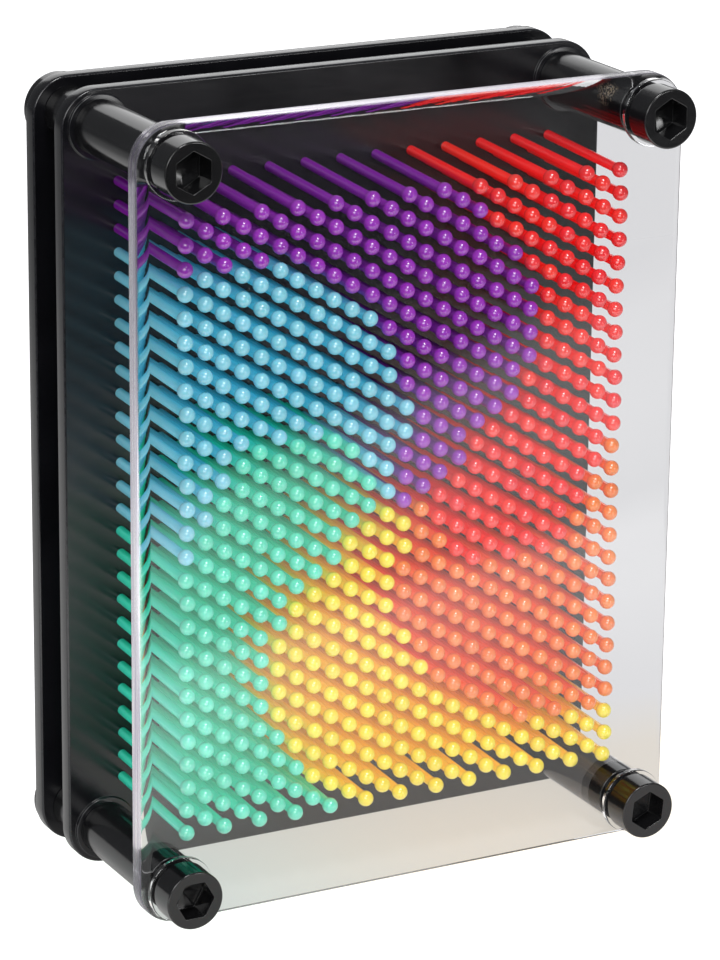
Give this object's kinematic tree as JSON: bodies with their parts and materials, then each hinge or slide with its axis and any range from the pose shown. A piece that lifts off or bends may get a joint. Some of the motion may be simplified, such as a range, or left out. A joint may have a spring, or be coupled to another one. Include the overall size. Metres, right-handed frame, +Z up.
{
  "type": "pin art impression toy",
  "caption": "Upright desktop pin art toy: sliding multicoloured ball-headed pins held in two black perforated plates behind a clear window, with tubular corner standoffs.",
  "frame": {"origin": "under the middle of the toy in width and depth, at the height of the bottom edges of the three plates", "axes": "+X to the right seen from the clear window, +Y from the window to the back along the pins, +Z up"},
  "size_m": [0.15, 0.0786, 0.202],
  "materials": {
    "clear_acrylic": "polished clear acrylic with greyish edges",
    "black_plate": "glossy black moulded plastic",
    "black_hardware": "glossy black moulded plastic with soft scuffs",
    "purple_pin": "bright purple translucent plastic",
    "green_pin": "bright mint green translucent plastic",
    "blue_pin": "bright light blue translucent plastic",
    "yellow_pin": "bright yellow translucent plastic",
    "red_pin": "bright red translucent plastic",
    "orange_pin": "bright orange translucent plastic"
  },
  "bodies": {
    "frame": {"front_window": "clear_acrylic", "front_pin_plate": "black_plate", "rear_pin_plate": "black_plate", "corner_screws": "black_hardware", "cap_nuts": "black_hardware", "top_left_standoff": "black_hardware", "top_right_standoff": "black_hardware", "bottom_left_standoff": "black_hardware", "bottom_right_standoff": "black_hardware", "top_left_spacer": "black_hardware", "top_right_spacer": "black_hardware", "bottom_left_spacer": "black_hardware", "bottom_right_spacer": "black_hardware"},
    "purple_cluster_1": {"purple_pins_1": "purple_pin"},
    "purple_cluster_2": {"purple_pins_2": "purple_pin"},
    "purple_cluster_3": {"purple_pins_3": "purple_pin"},
    "purple_cluster_4": {"purple_pins_4": "purple_pin"},
    "purple_cluster_5": {"purple_pins_5": "purple_pin"},
    "purple_cluster_6": {"purple_pins_6": "purple_pin"},
    "purple_cluster_7": {"purple_pins_7": "purple_pin"},
    "purple_cluster_8": {"purple_pins_8": "purple_pin"},
    "green_cluster_1": {"green_pins_1": "green_pin"},
    "green_cluster_2": {"green_pins_2": "green_pin"},
    "green_cluster_3": {"green_pins_3": "green_pin"},
    "green_cluster_4": {"green_pins_4": "green_pin"},
    "green_cluster_5": {"green_pins_5": "green_pin"},
    "green_cluster_6": {"green_pins_6": "green_pin"},
    "green_cluster_7": {"green_pins_7": "green_pin"},
    "green_cluster_8": {"green_pins_8": "green_pin"},
    "blue_cluster_1": {"blue_pins_1": "blue_pin"},
    "blue_cluster_2": {"blue_pins_2": "blue_pin"},
    "blue_cluster_3": {"blue_pins_3": "blue_pin"},
    "blue_cluster_4": {"blue_pins_4": "blue_pin"},
    "blue_cluster_5": {"blue_pins_5": "blue_pin"},
    "blue_cluster_6": {"blue_pins_6": "blue_pin"},
    "blue_cluster_7": {"blue_pins_7": "blue_pin"},
    "yellow_cluster_1": {"yellow_pins_1": "yellow_pin"},
    "yellow_cluster_2": {"yellow_pins_2": "yellow_pin"},
    "yellow_cluster_3": {"yellow_pins_3": "yellow_pin"},
    "yellow_cluster_4": {"yellow_pins_4": "yellow_pin"},
    "yellow_cluster_5": {"yellow_pins_5": "yellow_pin"},
    "yellow_cluster_6": {"yellow_pins_6": "yellow_pin"},
    "yellow_cluster_7": {"yellow_pins_7": "yellow_pin"},
    "yellow_cluster_8": {"yellow_pins_8": "yellow_pin"},
    "red_cluster_1": {"red_pins_1": "red_pin"},
    "red_cluster_2": {"red_pins_2": "red_pin"},
    "red_cluster_3": {"red_pins_3": "red_pin"},
    "red_cluster_4": {"red_pins_4": "red_pin"},
    "red_cluster_5": {"red_pins_5": "red_pin"},
    "red_cluster_6": {"red_pins_6": "red_pin"},
    "red_cluster_7": {"red_pins_7": "red_pin"},
    "red_cluster_8": {"red_pins_8": "red_pin"},
    "orange_cluster_1": {"orange_pins_1": "orange_pin"},
    "orange_cluster_2": {"orange_pins_2": "orange_pin"},
    "orange_cluster_3": {"orange_pins_3": "orange_pin"},
    "orange_cluster_4": {"orange_pins_4": "orange_pin"},
    "orange_cluster_5": {"orange_pins_5": "orange_pin"},
    "orange_cluster_6": {"orange_pins_6": "orange_pin"},
    "orange_cluster_7": {"orange_pins_7": "orange_pin"}
  },
  "joints": [
    {"name": "purple_pins_1_slide", "type": "slide", "parent": "frame", "child": "purple_cluster_1", "axis": [0, 0.9992, 0.04], "range_m": [0, 0.034]},
    {"name": "purple_pins_2_slide", "type": "slide", "parent": "frame", "child": "purple_cluster_2", "axis": [0, 0.9992, 0.04], "range_m": [0, 0.034]},
    {"name": "purple_pins_3_slide", "type": "slide", "parent": "frame", "child": "purple_cluster_3", "axis": [0, 0.9992, 0.04], "range_m": [0, 0.034]},
    {"name": "purple_pins_4_slide", "type": "slide", "parent": "frame", "child": "purple_cluster_4", "axis": [0, 0.9992, 0.04], "range_m": [0, 0.034]},
    {"name": "purple_pins_5_slide", "type": "slide", "parent": "frame", "child": "purple_cluster_5", "axis": [0, 0.9992, 0.04], "range_m": [0, 0.034]},
    {"name": "purple_pins_6_slide", "type": "slide", "parent": "frame", "child": "purple_cluster_6", "axis": [0, 0.9992, 0.04], "range_m": [0, 0.034]},
    {"name": "purple_pins_7_slide", "type": "slide", "parent": "frame", "child": "purple_cluster_7", "axis": [0, 0.9992, 0.04], "range_m": [0, 0.034]},
    {"name": "purple_pins_8_slide", "type": "slide", "parent": "frame", "child": "purple_cluster_8", "axis": [0, 0.9992, 0.04], "range_m": [0, 0.034]},
    {"name": "green_pins_1_slide", "type": "slide", "parent": "frame", "child": "green_cluster_1", "axis": [0, 0.9992, 0.04], "range_m": [0, 0.034]},
    {"name": "green_pins_2_slide", "type": "slide", "parent": "frame", "child": "green_cluster_2", "axis": [0, 0.9992, 0.04], "range_m": [0, 0.034]},
    {"name": "green_pins_3_slide", "type": "slide", "parent": "frame", "child": "green_cluster_3", "axis": [0, 0.9992, 0.04], "range_m": [0, 0.034]},
    {"name": "green_pins_4_slide", "type": "slide", "parent": "frame", "child": "green_cluster_4", "axis": [0, 0.9992, 0.04], "range_m": [0, 0.034]},
    {"name": "green_pins_5_slide", "type": "slide", "parent": "frame", "child": "green_cluster_5", "axis": [0, 0.9992, 0.04], "range_m": [0, 0.034]},
    {"name": "green_pins_6_slide", "type": "slide", "parent": "frame", "child": "green_cluster_6", "axis": [0, 0.9992, 0.04], "range_m": [0, 0.034]},
    {"name": "green_pins_7_slide", "type": "slide", "parent": "frame", "child": "green_cluster_7", "axis": [0, 0.9992, 0.04], "range_m": [0, 0.034]},
    {"name": "green_pins_8_slide", "type": "slide", "parent": "frame", "child": "green_cluster_8", "axis": [0, 0.9992, 0.04], "range_m": [0, 0.034]},
    {"name": "blue_pins_1_slide", "type": "slide", "parent": "frame", "child": "blue_cluster_1", "axis": [0, 0.9992, 0.04], "range_m": [0, 0.034]},
    {"name": "blue_pins_2_slide", "type": "slide", "parent": "frame", "child": "blue_cluster_2", "axis": [0, 0.9992, 0.04], "range_m": [0, 0.034]},
    {"name": "blue_pins_3_slide", "type": "slide", "parent": "frame", "child": "blue_cluster_3", "axis": [0, 0.9992, 0.04], "range_m": [0, 0.034]},
    {"name": "blue_pins_4_slide", "type": "slide", "parent": "frame", "child": "blue_cluster_4", "axis": [0, 0.9992, 0.04], "range_m": [0, 0.034]},
    {"name": "blue_pins_5_slide", "type": "slide", "parent": "frame", "child": "blue_cluster_5", "axis": [0, 0.9992, 0.04], "range_m": [0, 0.034]},
    {"name": "blue_pins_6_slide", "type": "slide", "parent": "frame", "child": "blue_cluster_6", "axis": [0, 0.9992, 0.04], "range_m": [0, 0.034]},
    {"name": "blue_pins_7_slide", "type": "slide", "parent": "frame", "child": "blue_cluster_7", "axis": [0, 0.9992, 0.04], "range_m": [0, 0.034]},
    {"name": "yellow_pins_1_slide", "type": "slide", "parent": "frame", "child": "yellow_cluster_1", "axis": [0, 0.9992, 0.04], "range_m": [0, 0.034]},
    {"name": "yellow_pins_2_slide", "type": "slide", "parent": "frame", "child": "yellow_cluster_2", "axis": [0, 0.9992, 0.04], "range_m": [0, 0.034]},
    {"name": "yellow_pins_3_slide", "type": "slide", "parent": "frame", "child": "yellow_cluster_3", "axis": [0, 0.9992, 0.04], "range_m": [0, 0.034]},
    {"name": "yellow_pins_4_slide", "type": "slide", "parent": "frame", "child": "yellow_cluster_4", "axis": [0, 0.9992, 0.04], "range_m": [0, 0.034]},
    {"name": "yellow_pins_5_slide", "type": "slide", "parent": "frame", "child": "yellow_cluster_5", "axis": [0, 0.9992, 0.04], "range_m": [0, 0.034]},
    {"name": "yellow_pins_6_slide", "type": "slide", "parent": "frame", "child": "yellow_cluster_6", "axis": [0, 0.9992, 0.04], "range_m": [0, 0.034]},
    {"name": "yellow_pins_7_slide", "type": "slide", "parent": "frame", "child": "yellow_cluster_7", "axis": [0, 0.9992, 0.04], "range_m": [0, 0.034]},
    {"name": "yellow_pins_8_slide", "type": "slide", "parent": "frame", "child": "yellow_cluster_8", "axis": [0, 0.9992, 0.04], "range_m": [0, 0.034]},
    {"name": "red_pins_1_slide", "type": "slide", "parent": "frame", "child": "red_cluster_1", "axis": [0, 0.9992, 0.04], "range_m": [0, 0.034]},
    {"name": "red_pins_2_slide", "type": "slide", "parent": "frame", "child": "red_cluster_2", "axis": [0, 0.9992, 0.04], "range_m": [0, 0.034]},
    {"name": "red_pins_3_slide", "type": "slide", "parent": "frame", "child": "red_cluster_3", "axis": [0, 0.9992, 0.04], "range_m": [0, 0.034]},
    {"name": "red_pins_4_slide", "type": "slide", "parent": "frame", "child": "red_cluster_4", "axis": [0, 0.9992, 0.04], "range_m": [0, 0.034]},
    {"name": "red_pins_5_slide", "type": "slide", "parent": "frame", "child": "red_cluster_5", "axis": [0, 0.9992, 0.04], "range_m": [0, 0.034]},
    {"name": "red_pins_6_slide", "type": "slide", "parent": "frame", "child": "red_cluster_6", "axis": [0, 0.9992, 0.04], "range_m": [0, 0.034]},
    {"name": "red_pins_7_slide", "type": "slide", "parent": "frame", "child": "red_cluster_7", "axis": [0, 0.9992, 0.04], "range_m": [0, 0.034]},
    {"name": "red_pins_8_slide", "type": "slide", "parent": "frame", "child": "red_cluster_8", "axis": [0, 0.9992, 0.04], "range_m": [0, 0.034]},
    {"name": "orange_pins_1_slide", "type": "slide", "parent": "frame", "child": "orange_cluster_1", "axis": [0, 0.9992, 0.04], "range_m": [0, 0.034]},
    {"name": "orange_pins_2_slide", "type": "slide", "parent": "frame", "child": "orange_cluster_2", "axis": [0, 0.9992, 0.04], "range_m": [0, 0.034]},
    {"name": "orange_pins_3_slide", "type": "slide", "parent": "frame", "child": "orange_cluster_3", "axis": [0, 0.9992, 0.04], "range_m": [0, 0.034]},
    {"name": "orange_pins_4_slide", "type": "slide", "parent": "frame", "child": "orange_cluster_4", "axis": [0, 0.9992, 0.04], "range_m": [0, 0.034]},
    {"name": "orange_pins_5_slide", "type": "slide", "parent": "frame", "child": "orange_cluster_5", "axis": [0, 0.9992, 0.04], "range_m": [0, 0.034]},
    {"name": "orange_pins_6_slide", "type": "slide", "parent": "frame", "child": "orange_cluster_6", "axis": [0, 0.9992, 0.04], "range_m": [0, 0.034]},
    {"name": "orange_pins_7_slide", "type": "slide", "parent": "frame", "child": "orange_cluster_7", "axis": [0, 0.9992, 0.04], "range_m": [0, 0.034]}
  ]
}
